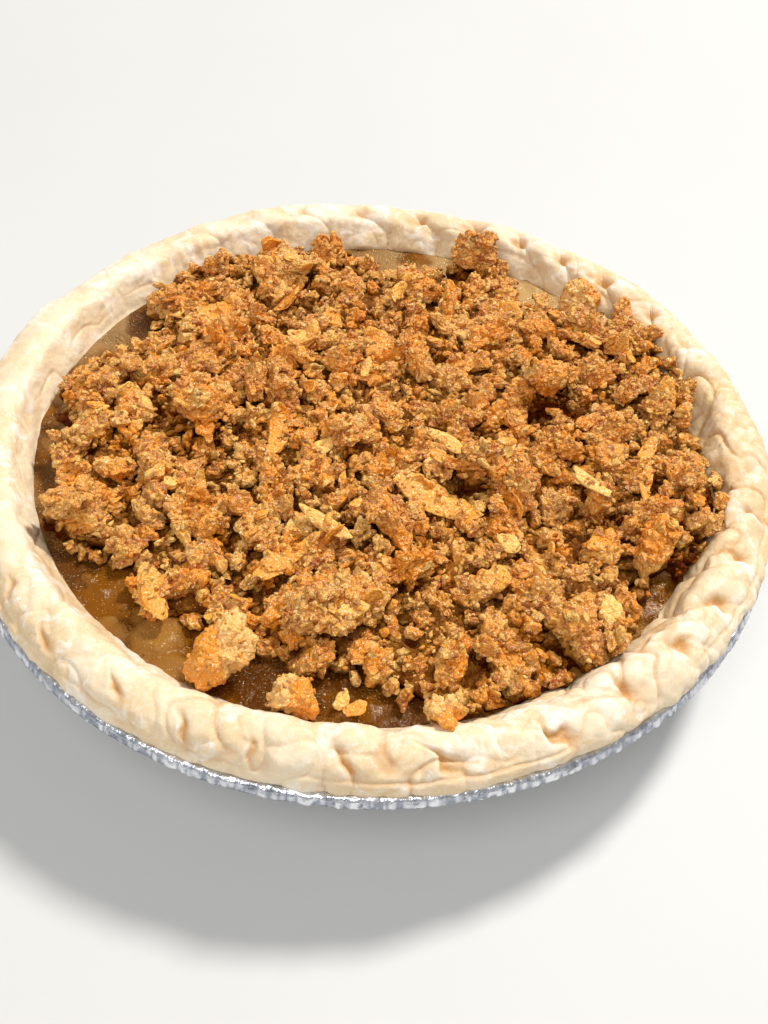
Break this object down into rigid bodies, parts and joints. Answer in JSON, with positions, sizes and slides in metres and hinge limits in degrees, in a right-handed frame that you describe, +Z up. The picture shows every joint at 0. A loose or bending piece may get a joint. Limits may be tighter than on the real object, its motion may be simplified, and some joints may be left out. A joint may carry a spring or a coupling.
{
  "type": "streusel pie in a foil tin",
  "caption": "Round streusel pie in its foil tin: pale crimped crust, a glossy apple filling that shows round the edge, and a heap of crumb topping.",
  "frame": {"origin": "middle of the tin's flat base, on the surface that the pie stands on", "axes": "+Z up; -Y is the front of the pie, where the filling shows widest; +X to the right"},
  "size_m": [0.222, 0.222, 0.055],
  "materials": {
    "tin": "bright pressed foil with a crinkled rolled edge",
    "crust": "pale baked shortcrust, satin with floury highlights",
    "filling": "wet glossy apple filling with cinnamon specks",
    "streusel": "crumbly tan-brown streusel with toasted golden bits",
    "crumb": "large toasted orange-gold crumb"
  },
  "bodies": {
    "root": {"tin": "tin", "crust": "crust", "filling": "filling", "streusel": "streusel", "crumb_front_left": "crumb", "crumb_front": "crumb", "crumb_back_right": "crumb", "crumb_front_right": "crumb"}
  },
  "joints": []
}
